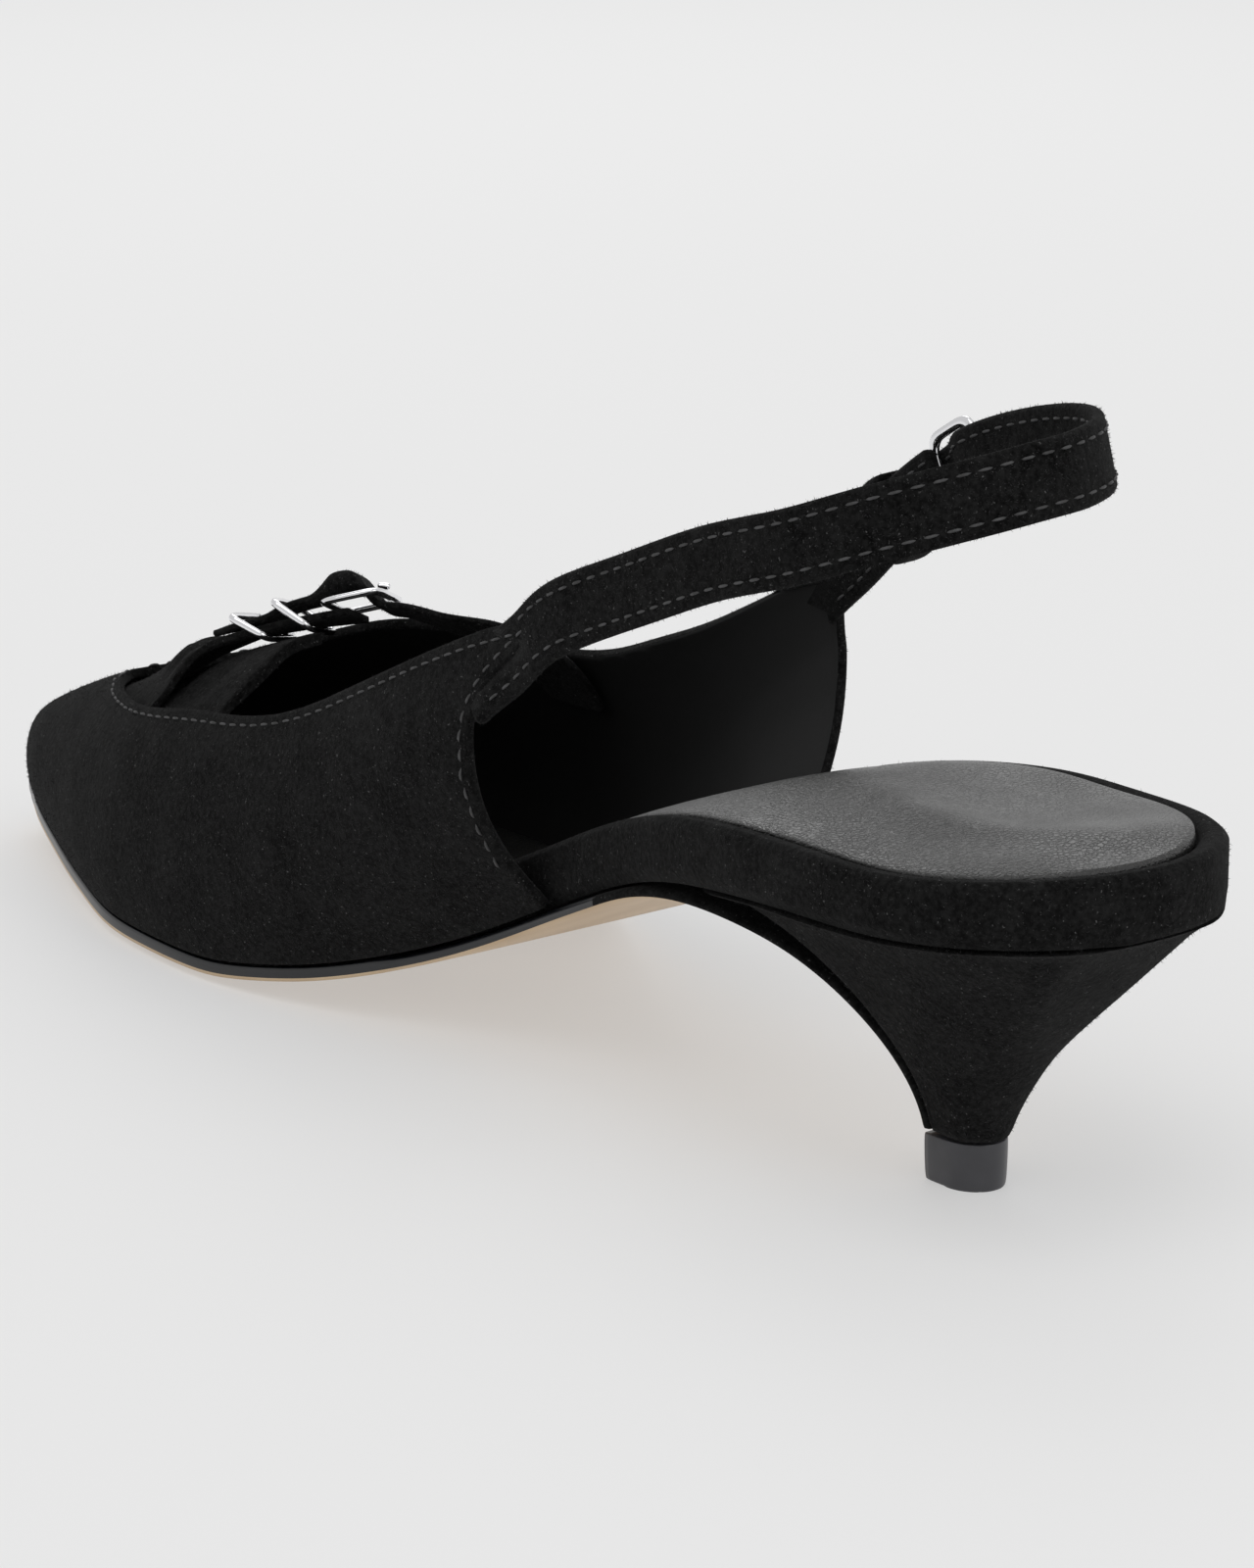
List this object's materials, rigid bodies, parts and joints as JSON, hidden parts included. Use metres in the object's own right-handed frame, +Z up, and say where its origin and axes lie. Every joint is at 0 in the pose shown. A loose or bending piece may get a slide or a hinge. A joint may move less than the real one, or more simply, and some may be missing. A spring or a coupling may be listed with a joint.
{
  "type": "slingback kitten heel shoe",
  "caption": "Pointed closed-toe slingback shoe on a low tapered heel, with a gathered instep belt drawn through a buckle and a buckled strap round the back of the foot.",
  "frame": {"origin": "middle of the shoe's length and width, on the floor that the heel tip and the forefoot stand on", "axes": "+X from heel to toe, +Y to the inner (big toe) side of this right shoe, +Z up"},
  "size_m": [0.2638, 0.0796, 0.1062],
  "materials": {
    "suede_black": "matte suede nap",
    "sock_leather": "satin grained",
    "outsole_tan": "smooth satin",
    "top_lift_black": "satin",
    "polished_metal": "polished"
  },
  "bodies": {
    "root": {"upper": "suede_black", "footbed": "suede_black", "insole_sock": "sock_leather", "outsole": "outsole_tan", "heel": "suede_black", "heel_tip": "top_lift_black", "sling_strap": "suede_black", "sling_tab": "suede_black", "sling_keeper": "suede_black", "sling_buckle": "polished_metal", "sling_prong": "polished_metal", "instep_belt": "suede_black", "instep_pleat": "suede_black", "instep_billet": "suede_black", "instep_buckle": "polished_metal", "instep_prong": "polished_metal", "instep_keeper_1": "polished_metal", "instep_keeper_2": "polished_metal"}
  },
  "joints": []
}
